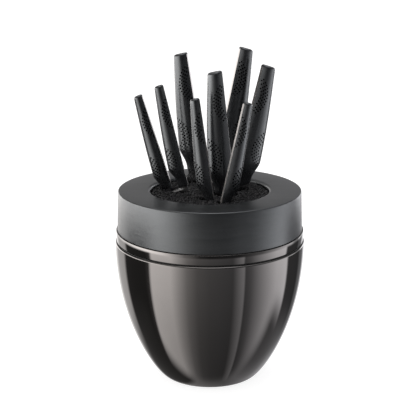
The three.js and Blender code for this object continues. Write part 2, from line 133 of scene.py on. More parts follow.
flare_radius, ring_bottom, ring_top = node_span("wood_ring")
collar_radius, skirt_bottom, collar_top = node_span("rim_collar")
vessel_radius, _, vessel_top = node_span("vessel_shell")
pad_radius, pad_bottom, pad_top = node_span("base_pad")
gasket_radius, gasket_bottom, gasket_top = node_span("rim_gasket")
support_radius, support_bottom, support_top = node_span("support_ring")
cup_radius, cup_bottom, cup_top = node_span("insert_cup")
plate_radius, plate_bottom, plate_top = node_span("bristle_base")
pack_radius, _, tip_z = node_span("bristle_pack")
well_radius = cup_radius + BODY_GAP
ring_radius = flare_radius - RING_FLARE
skirt_radius = collar_radius - SKIRT_INSET
collar_bottom = skirt_bottom + COLLAR_SKIRT_DROP
mouth_radius = vessel_radius - RIM_LIP_WIDTH
vessel_foot_radius = pad_radius + PAD_MARGIN
clamp_inner = skirt_radius - COLLAR_WALL - CLAMP_WIDTH
cup_shoulder_radius = cup_radius - SUPPORT_LIP
cup_foot_radius = plate_radius + FIT_GAP + CUP_WALL
screw_circle = (clamp_inner + support_radius) / 2
screw_low, screw_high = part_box("ring_screw_1")


# ---- mesh helpers ----------------------------------------------------------
def finish_mesh(name, bm, material, body, nodes=(), slot=None, sharp_degrees=38, weld=0.002):
    """Turns a bmesh in millimetres into a piece that rides on a body."""
    bmesh.ops.remove_doubles(bm, verts=bm.verts, dist=weld)
    bmesh.ops.dissolve_degenerate(bm, edges=bm.edges, dist=0.0005)
    bmesh.ops.recalc_face_normals(bm, faces=bm.faces)
    mesh = bpy.data.meshes.new(name)
    bm.to_mesh(mesh)
    bm.free()
    mesh.transform(Matrix.Scale(MM, 4))
    mesh.polygons.foreach_set("use_smooth", [True] * len(mesh.polygons))
    mesh.set_sharp_from_angle(angle=math.radians(sharp_degrees))
    mesh.materials.append(material)
    piece = bpy.data.objects.new(name, mesh)
    bpy.context.scene.collection.objects.link(piece)
    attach(piece, body)
    if nodes:
        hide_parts(*nodes)
    return piece


def arc(x, z, radius, start, end, steps):
    """Points of a round about a centre, between two angles in degrees."""
    angles = [math.radians(start + (end - start) * i / steps) for i in range(steps + 1)]
    return [(x + radius * math.cos(a), z + radius * math.sin(a)) for a in angles]


def softened(profile, radius, steps=3, least_degrees=30):
    """Rounds the corners of a closed profile that turn by more than a few degrees."""
    points = [Vector(p) for p in profile]
    result = []
    for i, here in enumerate(points):
        before, after = points[i - 1], points[(i + 1) % len(points)]
        back, on = before - here, after - here
        turn = math.pi - back.angle(on) if back.length and on.length else 0.0
        if turn < math.radians(least_degrees) or here.x < 1e-6:
            result.append(tuple(here))
            continue
        reach = min(radius, back.length * 0.45, on.length * 0.45)
        start, end = here + back.normalized() * reach, here + on.normalized() * reach
        for k in range(steps + 1):
            t = k / steps
            result.append(tuple(start * (1 - t) ** 2 + here * 2 * t * (1 - t) + end * t * t))
    return result


def turned_bmesh(profile, segments=TURNED_SEGMENTS, centre=(0.0, 0.0)):
    """A ring or disc turned about a vertical axis, from a closed profile of (radius, height)."""
    bm = bmesh.new()
    rings = []
    for radius, height in profile:
        if radius < 1e-6:
            rings.append([bm.verts.new((centre[0], centre[1], height))])
            continue
        angles = [2 * math.pi * k / segments for k in range(segments)]
        rings.append(new_loop(bm, [
            (centre[0] + radius * math.cos(a), centre[1] + radius * math.sin(a), height) for a in angles]))
    for i, low in enumerate(rings):
        high = rings[(i + 1) % len(rings)]
        if len(low) == 1 and len(high) == 1:
            continue
        for k in range(segments):
            n = (k + 1) % segments
            corners = [low[k % len(low)], low[n % len(low)], high[n % len(high)], high[k % len(high)]]
            bm.faces.new(list(dict.fromkeys(corners)))
    return bm


def turned(name, profile, material, body, slot, nodes=None, segments=TURNED_SEGMENTS, centre=(0.0, 0.0)):
    """A turned piece that replaces the node of its own name, unless others are given."""
    bm = turned_bmesh(profile, segments, centre)
    return finish_mesh(name, bm, material, body, nodes or (name.replace("_look", ""),), slot)


def cap_faces(bm, outer, inner=None):
    """Fills a loop of vertices, leaving the inner loop open when there is one."""
    edges = []
    for loop in filter(None, (outer, inner)):
        for i, vert in enumerate(loop):
            other = loop[(i + 1) % len(loop)]
            edges.append(bm.edges.get((vert, other)) or bm.edges.new((vert, other)))
    bmesh.ops.triangle_fill(bm, use_beauty=True, use_dissolve=False, edges=edges)


def bridge(bm, low, high):
    """Quads between two loops with the same number of vertices."""
    for i in range(len(low)):
        n = (i + 1) % len(low)
        bm.faces.new((low[i], low[n], high[n], high[i]))


def bridge_all(bm, loops):
    """Bridges each loop to the next."""
    for one, other in zip(loops, loops[1:]):
        bridge(bm, one, other)


def new_loop(bm, points):
    return [bm.verts.new(p) for p in points]


# ---- materials -------------------------------------------------------------
COOL_TINT = (0.93, 0.975, 1.0, 1.0)     # of the gloss on the wood and the coating


def material_of(name, color, roughness, metallic=0.0, specular=0.5):
    """A new material and its shader."""
    material = bpy.data.materials.new(name)
    material.use_nodes = True
    shader = material.node_tree.nodes["Principled BSDF"]
    shader.inputs["Base Color"].default_value = (*color, 1)
    shader.inputs["Roughness"].default_value = roughness
    shader.inputs["Metallic"].default_value = metallic
    shader.inputs["Specular IOR Level"].default_value = specular
    return material, shader


def add_node(owner, kind, **settings):
    """A new node of a material or the world, with settings for its sockets or properties by name."""
    node = owner.node_tree.nodes.new(kind)
    for key, value in settings.items():
        if key in node.inputs:
            node.inputs[key].default_value = value
        else:
            setattr(node, key, value)
    return node


def link(owner, source, target):
    owner.node_tree.links.new(source, target)


def object_coordinates(material, scale=(1, 1, 1)):
    """Object coordinates in metres, stretched by scale."""
    where = add_node(material, "ShaderNodeTexCoord")
    mapping = add_node(material, "ShaderNodeMapping")
    mapping.inputs["Scale"].default_value = scale
    link(material, where.outputs["Object"], mapping.inputs["Vector"])
    return mapping.outputs["Vector"]


def noise_of(material, coordinates, scale, detail=3.0, roughness=0.55):
    noise = add_node(material, "ShaderNodeTexNoise", Scale=scale, Detail=detail, Roughness=roughness)
    link(material, coordinates, noise.inputs["Vector"])
    return noise.outputs["Fac"]


def ramp_of(owner, value, stops):
    """A colour ramp of (position, colour) stops, where a colour may be one grey number."""
    ramp = add_node(owner, "ShaderNodeValToRGB")
    elements = ramp.color_ramp.elements
    while len(elements) < len(stops):
        elements.new(0.5)
    for element, (position, color) in zip(elements, stops):
        element.position = position
        element.color = (*color, 1) if isinstance(color, tuple) else (color, color, color, 1)
    link(owner, value, ramp.inputs["Fac"])
    return ramp.outputs["Color"]


def math_of(owner, operation, *values):
    """The result of a math node on numbers and sockets."""
    made = add_node(owner, "ShaderNodeMath", operation=operation)
    for socket, value in zip(made.inputs, values):
        if isinstance(value, (int, float)):
            socket.default_value = value
        else:
            link(owner, value, socket)
    return made.outputs["Value"]


def span_of(material, value, low, high):
    """A factor from 0 to 1 turned into a number from low to high."""
    span = add_node(material, "ShaderNodeMapRange", **{"To Min": low, "To Max": high})
    link(material, value, span.inputs["Value"])
    return span.outputs["Result"]


def bump_of(material, shader, height, distance, strength=1.0):
    bump = add_node(material, "ShaderNodeBump", Strength=strength, Distance=distance)
    link(material, height, bump.inputs["Height"])
    link(material, bump.outputs["Normal"], shader.inputs["Normal"])


def gunmetal():
    """Polished dark steel, very slightly uneven, with faint fine haze."""
    material, shader = material_of("polished_gunmetal", (0.14, 0.133, 0.13), 0.05, metallic=1.0)
    here = object_coordinates(material)
    haze = noise_of(material, here, 14.0, 4.0)
    link(material, ramp_of(material, haze, [(0.3, (0.135, 0.128, 0.125)), (0.7, (0.146, 0.139, 0.135))]),
         shader.inputs["Base Color"])
    link(material, span_of(material, haze, 0.03, 0.075), shader.inputs["Roughness"])
    return material


def black_wood():
    """Dark stained wood with fine growth lines that curve over the turned shape."""
    material, shader = material_of("black_stained_wood", (0.022, 0.023, 0.025), 0.33, specular=1.0)
    shader.inputs["Specular Tint"].default_value = COOL_TINT
    grain = object_coordinates(material, (3.0, 26.0, 60.0))
    warp = noise_of(material, object_coordinates(material), 9.0, 2.0)
    mixed = add_node(material, "ShaderNodeVectorMath", operation="ADD")
    link(material, warp, mixed.inputs[0])
    link(material, grain, mixed.inputs[1])
    lines = noise_of(material, mixed.outputs["Vector"], 3.2, 5.0, 0.62)
    pores = noise_of(material, object_coordinates(material, (60.0, 900.0, 900.0)), 1.0, 2.0)
    link(material, ramp_of(material, lines, [
        (0.32, (0.011, 0.012, 0.013)), (0.5, (0.017, 0.018, 0.019)), (0.72, (0.025, 0.026, 0.028))]),
        shader.inputs["Base Color"])
    link(material, span_of(material, lines, 0.27, 0.42), shader.inputs["Roughness"])
    bump_of(material, shader, math_of(material, "MULTIPLY_ADD", pores, 0.35, lines), 0.00022, 0.5)
    return material


def coated_steel():
    """Satin black coated steel with a very fine blasted texture."""
    material, shader = material_of("black_coated_steel", (0.016, 0.0165, 0.018), 0.27, specular=1.0)
    shader.inputs["Specular Tint"].default_value = COOL_TINT
    here = object_coordinates(material)
    cloud = noise_of(material, here, 45.0, 3.0)
    grit = noise_of(material, here, 2600.0, 2.0)
    link(material, ramp_of(material, cloud, [(0.3, (0.014, 0.0145, 0.016)), (0.7, (0.019, 0.0195, 0.021))]),
         shader.inputs["Base Color"])
    link(material, span_of(material, cloud, 0.24, 0.3), shader.inputs["Roughness"])
    bump_of(material, shader, grit, 0.00003, 0.5)
    return material


def facet_steel():
    """The flat along the handle's edge, with fine brushed strokes; painted highlight: its steel is lighter
    than the coating round it, for the light the flat catches.
    """
    material, shader = material_of("facet_painted_highlight_steel", (0.25, 0.238, 0.23), 0.3, metallic=1.0)
    strokes = noise_of(material, object_coordinates(material, (900.0, 900.0, 30.0)), 1.0, 2.0)
    link(material, ramp_of(material, strokes, [(0.3, (0.23, 0.218, 0.21)), (0.7, (0.27, 0.258, 0.25))]),
         shader.inputs["Base Color"])
    link(material, span_of(material, strokes, 0.24, 0.34), shader.inputs["Roughness"])
    bump_of(material, shader, strokes, 0.00002, 0.4)
    return material


def blade_steel():
    """Bright steel with fine grinding lines across the blade."""
    material, shader = material_of("polished_blade_steel", (0.5, 0.5, 0.495), 0.2, metallic=1.0)
    grinding = noise_of(material, object_coordinates(material, (40.0, 40.0, 2600.0)), 1.0, 2.0)
    link(material, ramp_of(material, grinding, [(0.3, 0.46), (0.7, 0.54)]), shader.inputs["Base Color"])
    link(material, span_of(material, grinding, 0.14, 0.28), shader.inputs["Roughness"])
    bump_of(material, shader, grinding, 0.00001, 0.4)
    return material


def moulded(name, color, roughness, grit_scale, grit_depth, specular=0.5):
    """Moulded rubber or plastic with a fine even texture; it also makes the painted shade in the handle's
    dimples.
    """
    material, shader = material_of(name, color, roughness, specular=specular)
    here = object_coordinates(material)
    cloud = noise_of(material, here, 60.0, 3.0)
    grit = noise_of(material, here, grit_scale, 2.0)
    low, high = (tuple(c * share for c in color) for share in (0.8, 1.2))
    link(material, ramp_of(material, cloud, [(0.3, low), (0.7, high)]), shader.inputs["Base Color"])
    link(material, span_of(material, cloud, roughness - 0.06, roughness + 0.06), shader.inputs["Roughness"])
    bump_of(material, shader, grit, grit_depth, 0.6)
    return material


def rod_plastic():
    """Black rods whose cut tips differ a little in tone and gloss from one to the next."""
    material, shader = material_of("bristle_rods", (0.022, 0.023, 0.025), 0.42, specular=0.5)
    cells = add_node(material, "ShaderNodeTexVoronoi", Scale=1.0)
    link(material, object_coordinates(material, (420.0, 420.0, 6.0)), cells.inputs["Vector"])
    tone = add_node(material, "ShaderNodeSeparateColor")
    link(material, cells.outputs["Color"], tone.inputs["Color"])
    link(material, ramp_of(material, tone.outputs["Red"], [
        (0.0, (0.004, 0.004, 0.005)), (0.75, (0.012, 0.012, 0.013)), (1.0, (0.032, 0.033, 0.035))]),
        shader.inputs["Base Color"])
    link(material, span_of(material, tone.outputs["Green"], 0.26, 0.55), shader.inputs["Roughness"])
    cut = noise_of(material, object_coordinates(material), 1500.0, 2.0)
    bump_of(material, shader, cut, 0.00012, 0.7)
    return material


def zinc():
    """Dull zinc plating with a faint cloud."""
    material, shader = material_of("zinc_screws", (0.55, 0.55, 0.56), 0.35, metallic=1.0)
    cloud = noise_of(material, object_coordinates(material), 300.0, 3.0)
    link(material, ramp_of(material, cloud, [(0.3, 0.48), (0.7, 0.6)]), shader.inputs["Base Color"])
    link(material, span_of(material, cloud, 0.28, 0.42), shader.inputs["Roughness"])
    bump_of(material, shader, cloud, 0.00005, 0.5)
    return material


GUNMETAL = gunmetal()
WOOD = black_wood()
COATED = coated_steel()
# Painted highlight: a lighter steel on the handle's flat, standing in for the light it catches.
FACET_HIGHLIGHT = facet_steel()
BLADE = blade_steel()
RUBBER = moulded("black_rubber", (0.016, 0.016, 0.016), 0.72, 1800.0, 0.00008, 0.3)
PLASTIC = moulded("black_plastic", (0.02, 0.021, 0.022), 0.48, 1200.0, 0.00006)
RODS = rod_plastic()
# Painted shade: a near-black, duller material on the walls and floors of the handle's dimples, standing in
# for the shade inside them.
PIT_SHADE = moulded("dimple_painted_shade", (0.003, 0.003, 0.003), 0.6, 2200.0, 0.00003, 0.12)
ZINC = zinc()


# ---- vessel ----------------------------------------------------------------
def wall_point(share, inset):
    """A point on the egg-shaped wall, from the rim (0) down to the foot (1)."""
    height = vessel_top - RIM_ROUND
    hull = [Vector((vessel_radius, height)),
            Vector((vessel_radius, height * (1 - VESSEL_SHOULDER))),
            Vector((vessel_foot_radius + VESSEL_HEEL_OUT, PAD_PROUD + VESSEL_HEEL_UP)),
            Vector((vessel_foot_radius, PAD_PROUD))]
    t, u = share, 1 - share
    point = hull[0] * u ** 3 + hull[1] * 3 * u * u * t + hull[2] * 3 * u * t * t + hull[3] * t ** 3
    along = (hull[1] - hull[0]) * u * u + (hull[2] - hull[1]) * 2 * u * t + (hull[3] - hull[2]) * t * t
    along.normalize()
    return point.x + along.y * inset, point.y - along.x * inset


def band(inner, outer, bottom, top):
    """The profile of a flat ring or disc."""
    return [(inner, bottom), (outer, bottom), (outer, top), (inner, top)]


def wall_run(inset, start, end, steps):
    """Points along the wall between two shares of its height."""
    return [wall_point(start + (end - start) * i / steps, inset) for i in range(steps + 1)]


def make_vessel():
    recess = PAD_PROUD + PAD_RECESS
    profile = [
        (0, recess),
        (pad_radius + FIT_GAP, recess),
        (pad_radius + FIT_GAP, PAD_PROUD),
        *wall_run(0, 1, 0, WALL_STEPS_OUTSIDE),
        *arc(vessel_radius - RIM_ROUND, vessel_top - RIM_ROUND, RIM_ROUND, 8, 90, 10),
        (mouth_radius, vessel_top),
        (mouth_radius, vessel_top - VESSEL_WALL),
        (vessel_radius - VESSEL_WALL - RIM_ROUND, vessel_top - VESSEL_WALL),
        *wall_run(VESSEL_WALL, WALL_INSIDE_FROM, WALL_INSIDE_TO, WALL_STEPS_INSIDE),
        (pad_radius, recess + VESSEL_WALL),
        (0, recess + VESSEL_WALL),
    ]
    turned("vessel_shell_look", softened(profile, 0.3), GUNMETAL, "vessel", "polished_gunmetal",
           segments=POLISHED_SEGMENTS)
    pad = band(PAD_HOLE_RADIUS, pad_radius, pad_bottom, pad_top)
    turned("base_pad_look", softened(pad, 0.5), RUBBER, "vessel", "black_rubber")
    gasket = band(mouth_radius + FIT_GAP, gasket_radius, gasket_bottom, gasket_top)
    turned("rim_gasket_look", softened(gasket, 0.3), RUBBER, "vessel", "black_rubber")


# ---- top ring --------------------------------------------------------------
def screw_places():
    angles = [2 * math.pi * (i + 0.5) / SCREW_COUNT for i in range(SCREW_COUNT)]
    return [(screw_circle * math.cos(a), screw_circle * math.sin(a)) for a in angles]


def make_top_ring():
    wood = [
        (well_radius, ring_bottom),
        (flare_radius, ring_bottom),
        *arc(ring_radius - RING_EDGE_RADIUS, ring_top - RING_EDGE_RADIUS, RING_EDGE_RADIUS, 0, 90, 10),
        *arc(well_radius + WELL_ROUND, ring_top - WELL_ROUND, WELL_ROUND, 90, 180, 14),
    ]
    turned("wood_ring_look", softened(wood, 0.4), WOOD, "top_ring", "black_stained_wood")
    flange_bottom = collar_top - COLLAR_WALL
    collar = [
        (clamp_inner, flange_bottom),
        (skirt_radius - COLLAR_WALL, flange_bottom),
        (skirt_radius - COLLAR_WALL, skirt_bottom),
        (skirt_radius, skirt_bottom),
        (skirt_radius, flange_bottom),
        (collar_radius - COLLAR_WALL, flange_bottom),
        (collar_radius - COLLAR_WALL, collar_bottom),
        (collar_radius, collar_bottom),
        (collar_radius, collar_top),
        (clamp_inner, collar_top),
    ]
    turned("rim_collar_look", softened(collar, 0.45), GUNMETAL, "top_ring", "polished_gunmetal",
           segments=POLISHED_SEGMENTS)
    step = flange_bottom - FIT_GAP
    inner = cup_shoulder_radius + BODY_GAP
    support = [
        (inner, support_bottom),
        (support_radius, support_bottom),
        (support_radius, step),
        (clamp_inner - FIT_GAP, step),
        (clamp_inner - FIT_GAP, support_top),
        (inner, support_top),
    ]
    turned("support_ring_look", softened(support, 0.6), PLASTIC, "top_ring", "black_plastic")
    for i, place in enumerate(screw_places()):
        make_screw(f"ring_screw_{i + 1}", place)


def make_screw(node, place):
    """A pan-head screw with a round socket and a thread cut as close rings."""
    low, high = screw_low.z / MM, screw_high.z / MM
    head_top = support_bottom - FIT_GAP
    head = head_top - low
    radius = (screw_high.x - screw_low.x) / 2 / MM
    groove = SCREW_SHANK_RADIUS - THREAD_DEPTH
    shank = []
    z = head_top + THREAD_START
    while z < high - THREAD_END:
        shank += [(groove, z), (SCREW_SHANK_RADIUS, z + THREAD_PITCH / 2)]
        z += THREAD_PITCH
    profile = [
        (0, low + head * 0.55),
        (radius * 0.4, low + head * 0.5),
        (radius * 0.46, low),
        (radius * 0.7, low + head * 0.08),
        (radius * 0.92, low + head * 0.3),
        (radius, low + head * 0.62),
        (radius, head_top),
        (SCREW_SHANK_RADIUS, head_top),
        *shank,
        (groove, high - SCREW_POINT),
        (0, high),
    ]
    turned(f"{node}_look", profile, ZINC, "top_ring", "zinc_screws", (node,), SCREW_SIDES, place)


# ---- insert cup --------------------------------------------------------------
def make_insert():
    shoulder = support_top + FIT_GAP
    floor_top = cup_bottom + CUP_FLOOR
    foot_inner = cup_foot_radius - CUP_WALL
    cup = [
        (CUP_DRAIN_RADIUS, cup_bottom),
        (cup_foot_radius, cup_bottom),
        (cup_shoulder_radius, shoulder),
        (cup_radius, shoulder),
        (cup_radius, cup_top),
        (cup_radius - CUP_WALL, cup_top),
        (cup_radius - CUP_WALL, shoulder + CUP_WALL),
        (cup_shoulder_radius - CUP_WALL, shoulder + CUP_WALL),
        (foot_inner, floor_top),
        (CUP_DRAIN_RADIUS, floor_top),
    ]
    turned("insert_cup_look", softened(cup, 0.6), PLASTIC, "insert", "black_plastic")
    plate = band(0, plate_radius, plate_bottom, plate_top)
    turned("bristle_base_look", softened(plate, 0.4), PLASTIC, "insert", "black_plastic")


# ---- knives ----------------------------------------------------------------
def knife_matrix(name):
    """Local X runs from spine to belly and Z up the knife; zero is the spine end of the neck."""
    _, entry, lean, turn, side, rise, _ = KNIVES[name]
    lean, turn = math.radians(lean), math.radians(turn)
    up = Vector((math.sin(lean), 0, math.cos(lean)))
    across = Vector((0, 1, 0)).cross(up) * side
    belly = across * math.cos(turn) + Vector((0, 1, 0)) * math.sin(turn)
    normal = up.cross(belly)
    origin = Vector((entry[0], entry[1], tip_z)) + up * rise
    matrix = Matrix((belly, normal, up)).transposed().to_4x4()
    matrix.translation = origin
    return matrix


def smooth(x):
    """An even step from 0 to 1 that starts and ends level."""
    return x * x * (3 - 2 * x)


def handle_size(handle, z):
    """Width and half thickness at a height above the neck's spine end."""
    length, belly_at, neck = handle["length"], handle["belly_at"], handle["neck_length"]
    if z < belly_at:
        share = smooth(min(max((z - neck) / (belly_at - neck), 0), 1))
        low = "neck"
    else:
        along = (length - z) / (length - belly_at)
        share = (along + math.sin(along * math.pi / 2)) / 2
        low = "butt"
    width, thick = (handle[f"{low}_{what}"] + (handle[f"belly_{what}"] - handle[f"{low}_{what}"]) * share
                    for what in ("width", "thickness"))
    return width, thick / 2


def section_slope(handle, z):
    """How much a section tilts: it follows the neck's end at one end and the butt at the other."""
    length, belly_at, neck = handle["length"], handle["belly_at"], handle["neck_length"]
    if z >= belly_at:
        return handle["butt_slope"] * (z - belly_at) / (length - belly_at)
    if z <= neck:
        return handle["neck_slope"] * (1 - 0.4 * z / neck)
    return handle["neck_slope"] * 0.6 * (belly_at - z) / (belly_at - neck)


def half_curve(q, width, half, facet):
    """The half outline at q from 0 (the facet's corner) to 2 (the belly), with 1 at the swell."""
    if q <= 1:
        return width * SWELL_AT * q, facet + (half - facet) * math.sin(q * math.pi / 2)
    angle = (q - 1) * math.pi / 2
    return width * (SWELL_AT + (1 - SWELL_AT) * math.sin(angle)), half * math.cos(angle)


class HandleSkin:
    """The handle's outer surface, unrolled: a runs round it from the facet's middle, z up it."""

    TABLE_STEPS = 400

    def __init__(self, handle):
        self.handle = handle
        self.facet = handle["facet"] / 2
        width, half = handle_size(handle, handle["belly_at"])
        self.lengths = [0.0]
        last = Vector(half_curve(0, width, half, self.facet))
        for i in range(1, self.TABLE_STEPS + 1):
            here = Vector(half_curve(2 * i / self.TABLE_STEPS, width, half, self.facet))
            self.lengths.append(self.lengths[-1] + (here - last).length)
            last = here
        self.side = self.lengths[-1]
        self.round = 2 * (self.facet + self.side)

    def q_at(self, run):
        """The outline's parameter at a distance from the facet's corner."""
        low, high = 0, self.TABLE_STEPS
        while high - low > 1:
            middle = (low + high) // 2
            low, high = (middle, high) if self.lengths[middle] <= run else (low, middle)
        step = self.lengths[high] - self.lengths[low]
        return 2 * (low + min(max((run - self.lengths[low]) / step, 0), 1)) / self.TABLE_STEPS

    def stretch(self, z):
        """How the side's length at z compares with its length in the unrolled outline."""
        steps = 40
        points = [self.point(self.facet + self.side * i / steps, z) for i in range(steps + 1)]
        return sum((there - here).length for here, there in zip(points, points[1:])) / self.side

    def point(self, a, z, inset=0.0, lift=0.0):
        """The place in millimetres of a point of the unrolled surface, moved in and up."""
        sign, run = (-1, a) if a <= self.round / 2 else (1, self.round - a)
        width, half = handle_size(self.handle, z)
        if run <= self.facet:
            x, y = 0.0, run
        else:
            x, y = half_curve(self.q_at(run - self.facet), width - 2 * inset, half - inset, self.facet)
        x += inset
        return Vector((x, sign * y, z + lift + section_slope(self.handle, z) * x))

    def normal(self, a, z):
        """The outward normal, and how long a millimetre round and a millimetre up come out there."""
        step = 0.05
        round_it = self.point(a + step, z) - self.point(a - step, z)
        up_it = self.point(a, z + step) - self.point(a, z - step)
        return round_it.cross(up_it).normalized(), round_it.length / step / 2, up_it.length / step / 2


DIMPLE_RADIUS = 1.0
DIMPLE_PITCH = 3.7
# Rings of a dimple, from its rim in: share of the radius, depth, number of points.
DIMPLE_RINGS = ((1.0, 0.0, 16), (0.92, 0.55, 16), (0.72, 0.95, 12), (0.36, 1.15, 6), (0.0, 1.2, 1))
DIMPLE_COLUMNS = 4
DIMPLE_MARGIN = 0.5
CLEAR_OF_RIM = 0.3
NEAR_DIMPLE = 3.0


def dimple_places(handle):
    """Centres of the dimples on one side, as (distance from the facet's corner, height).

    Each patch is a fan of arcs about one centre, a column gap apart, cut off by its chord."""
    found = []
    for middle, half, chord, bulge, gap, toward in (handle["leaf"], handle["crescent"]):
        outer = (half * half + bulge * bulge) / (2 * bulge)
        centre = chord + toward * (bulge - outer)
        for column in range(DIMPLE_COLUMNS):
            radius = outer - column * gap
            count = int(math.pi / 2 * radius / DIMPLE_PITCH)
            shift = 0.5 if column % 2 else 0.0
            for i in range(-count, count + 1):
                angle = (i + shift) * DIMPLE_PITCH / radius
                run = centre + toward * radius * math.cos(angle)
                rise = radius * math.sin(angle)
                inside = run > chord - DIMPLE_MARGIN if toward > 0 else run < handle["nose_limit"]
                if inside and abs(rise) < half + DIMPLE_MARGIN and abs(angle) < math.pi / 2:
                    found.append((run, middle + rise))
    return found


SKIN_Z_STEP = 3.0
BUTT_ROUND = 2.6
NECK_ROUND = 0.6
CAP_INSET = 3.0
CAP_GAP = 0.12
CAP_THICKNESS = 2.5
SEAT_EASE = 0.12
SEAT_ROOM = 0.4
FACET_STEPS = 2
SIDE_STEPS = 26
BUTT_STEPS = 6
NECK_STEPS = 4
ON_FACET = 0.01
# The facet look is a painted highlight on the faces of the flat.
# The pit look is painted shade on the faces inside each dimple's rim.
SKIN_LOOK, PIT_SHADE_LOOK, FACET_HIGHLIGHT_LOOK = range(3)    # in the order of a handle's materials


def round_places(skin):
    """Places of the vertices round the handle, denser than any bend needs."""
    half = [skin.facet * i / FACET_STEPS for i in range(FACET_STEPS + 1)]
    half += [skin.facet + skin.side * i / SIDE_STEPS for i in range(1, SIDE_STEPS + 1)]
    return half + [skin.round - a for a in reversed(half[:-1])]


def dimple_centres(skin):
    """Each dimple's centre on the unrolled surface, on both sides, with the surface's scale there."""
    centres = []
    for run, z in dimple_places(skin.handle):
        corner = skin.facet + run / skin.stretch(z)
        for a in (corner, skin.round - corner):
            _, round_scale, up_scale = skin.normal(a, z)
            centres.append((a, z, round_scale, up_scale))
    return centres


def near_dimple(centres, a, z):
    """Whether a place is in a dimple or close beside one."""
    reach = DIMPLE_RADIUS + CLEAR_OF_RIM
    return any(abs(z - cz) < NEAR_DIMPLE and math.hypot((a - ca) * sa, (z - cz) * sz) < reach
               for ca, cz, sa, sz in centres)


def add_dimple(skin, centre, flat, solid, inner, edges):
    """Adds a dimple's rings of points, and the edges of its rim."""
    a, z, round_scale, up_scale = centre
    normal, _, _ = skin.normal(a, z)
    for share, depth, count in DIMPLE_RINGS:
        first = len(flat)
        for k in range(count):
            angle = 2 * math.pi * k / count
            here = (a + DIMPLE_RADIUS * share * math.cos(angle) / round_scale,
                    z + DIMPLE_RADIUS * share * math.sin(angle) / up_scale)
            flat.append(here)
            solid.append(skin.point(*here) - normal * depth)
            inner.append(share < 1)
        if share == 1.0:
            edges += [(first + k, first + (k + 1) % count) for k in range(count)]


def skin_faces(skin, places, low, high):
    """The outer surface with its dimples, as points, triangles and the look of each triangle."""
    rows = max(2, round((high - low) / SKIN_Z_STEP))
    heights = [low + (high - low) * i / rows for i in range(rows + 1)]
    last = len(places) - 1
    centres = dimple_centres(skin)
    flat, solid, edges, inner = [], [], [], []
    grid = {}
    for j, a in enumerate(places):
        for i, z in enumerate(heights):
            if i in (0, rows) or j in (0, last) or not near_dimple(centres, a, z):
                grid[i, j] = len(flat)
                flat.append((a, z))
                solid.append(skin.point(a, z))
                inner.append(False)
    for j in (0, FACET_STEPS, last - FACET_STEPS, last):
        edges += [(grid[i, j], grid[i + 1, j]) for i in range(rows)]
    for i in (0, rows):
        edges += [(grid[i, j], grid[i, j + 1]) for j in range(last)]
    for centre in centres:
        add_dimple(skin, centre, flat, solid, inner, edges)
    places_made, _, faces, origins, *_ = delaunay_2d_cdt([Vector(p) for p in flat], edges, [], 0, 1e-6)
    points = [solid[found[0]] if found else skin.point(*place) for place, found in zip(places_made, origins)]
    # Points inside a dimple's rim; faces that touch them take the painted shade.
    dimpled = {i for i, found in enumerate(origins) if found and inner[found[0]]}
    # Faces lying wholly on the flat take the painted highlight.
    middle = skin.round / 2
    facet_from = middle - skin.facet - ON_FACET
    on_facet = {i for i, place in enumerate(places_made) if abs(place.x - middle) > facet_from}
    looks = [PIT_SHADE_LOOK if any(i in dimpled for i in face)
             else FACET_HIGHLIGHT_LOOK if all(i in on_facet for i in face) else SKIN_LOOK for face in faces]
    return points, faces, looks


def add_butt(bm, ring, high):
    """The rounded butt with the seat of its cap."""
    loops = [ring(high, 0, 0)]
    for i in range(1, BUTT_STEPS + 1):
        angle = math.pi / 2 * i / BUTT_STEPS
        loops.append(ring(high, BUTT_ROUND * (1 - math.cos(angle)), BUTT_ROUND * math.sin(angle)))
    loops.append(ring(high, CAP_INSET - SEAT_EASE, BUTT_ROUND))
    loops.append(ring(high, CAP_INSET, BUTT_ROUND - SEAT_EASE))
    loops.append(ring(high, CAP_INSET, BUTT_ROUND - CAP_THICKNESS - SEAT_ROOM))
    bridge_all(bm, loops)
    cap_faces(bm, loops[-1])


def add_neck(bm, ring, low, handle):
    """The eased end of the neck, with the pocket for the tang."""
    loops = [ring(low, 0, 0)]
    for i in range(1, NECK_STEPS + 1):
        angle = math.pi / 2 * i / NECK_STEPS
        loops.append(ring(low, NECK_ROUND * (1 - math.cos(angle)), -NECK_ROUND * math.sin(angle)))
    for one, other in zip(loops, loops[1:]):
        bridge(bm, other, one)
    start, end = tang_span(handle)
    start, end, half = start - FIT_GAP, end + FIT_GAP, TANG_THICKNESS / 2 + FIT_GAP
    corners = [(start, -half), (end, -half), (end, half), (start, half)]
    slope = section_slope(handle, low)
    mouth = new_loop(bm, [(x, y, slope * x) for x, y in corners])
    roof = new_loop(bm, [(x, y, TANG_LENGTH + FIT_GAP) for x, y in corners])
    cap_faces(bm, loops[-1], mouth)
    bridge(bm, roof, mouth)
    bm.faces.new(roof)


def handle_bmesh(handle):
    """One closed handle: dimpled skin, rounded butt with a seat for its cap, and a pocket for the tang."""
    skin = HandleSkin(handle)
    places = round_places(skin)
    low, high = NECK_ROUND, handle["length"] - BUTT_ROUND
    points, faces, looks = skin_faces(skin, places, low, high)
    bm = bmesh.new()
    verts = new_loop(bm, points)
    for face, look in zip(faces, looks):
        bm.faces.new([verts[i] for i in face]).material_index = look

    def ring(z, inset, lift):
        return new_loop(bm, [skin.point(a, z, inset, lift) for a in places[:-1]])

    add_butt(bm, ring, high)
    add_neck(bm, ring, low, handle)
    return bm


def tang_span(handle):
    """Where the tang starts and ends across the neck."""
    width = handle["neck_width"] * TANG_SHARE
    start = (handle["neck_width"] - width) / 2
    return start, start + width


